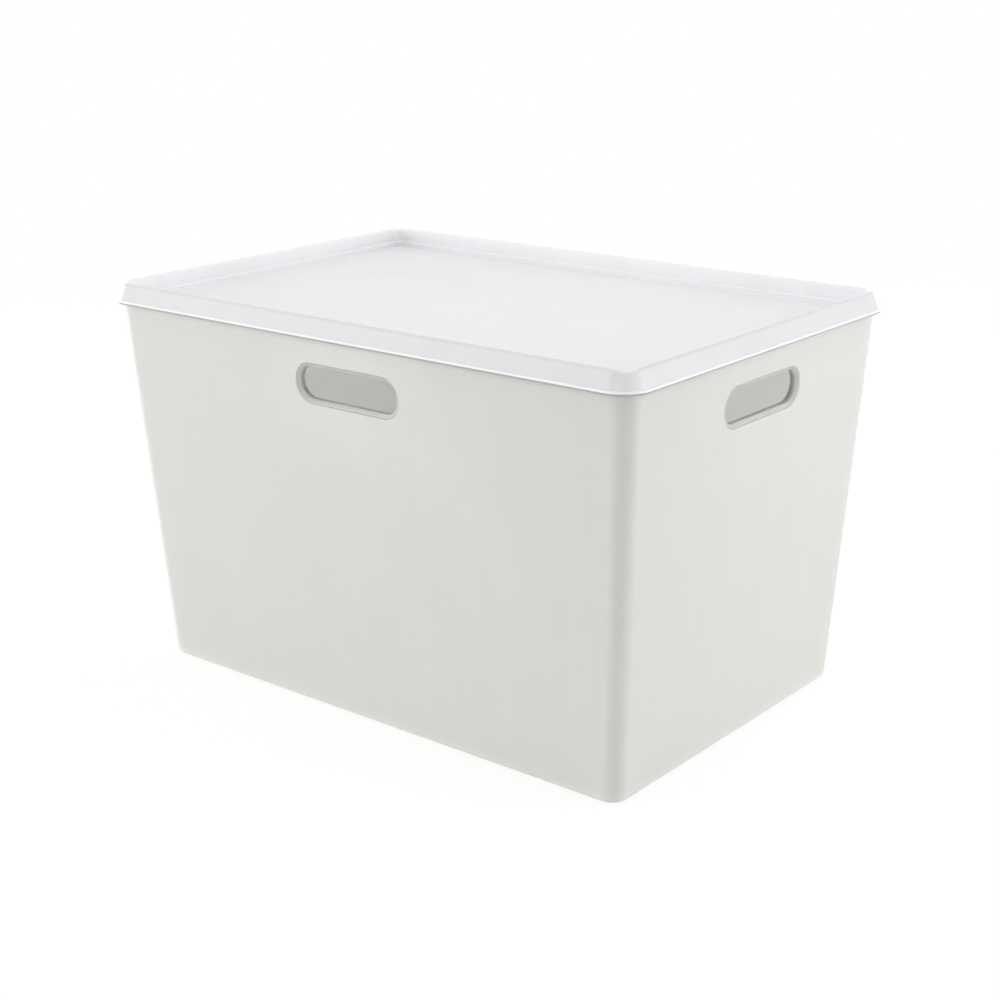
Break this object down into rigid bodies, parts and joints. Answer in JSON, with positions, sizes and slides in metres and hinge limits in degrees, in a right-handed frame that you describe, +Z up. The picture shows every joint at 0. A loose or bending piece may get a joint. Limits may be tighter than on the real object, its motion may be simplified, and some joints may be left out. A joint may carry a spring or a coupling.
{
  "type": "lidded storage box",
  "caption": "Tapered rectangular storage tub with rounded corners and a hand hole in each side, closed by a lift-off lid with a sunk top for stacking.",
  "frame": {"origin": "middle of the base's flat underside, with the lid on", "axes": "+Z up, the way the lid lifts; +X along the long side; +Y along the short side"},
  "size_m": [0.3892, 0.2656, 0.242],
  "materials": {
    "tub_plastic": "warm off-white injection-moulded plastic, satin, with a faint fine mould grain",
    "lid_plastic": "milky translucent cool white moulded plastic, satin panel with a smoother rim"
  },
  "bodies": {
    "tub": {"tub": "tub_plastic"},
    "lid": {"lid": "lid_plastic"}
  },
  "joints": [
    {"name": "lid_lift", "type": "slide", "parent": "tub", "child": "lid", "axis": [0, 0, 1], "range_m": [0, 0.25]}
  ]
}
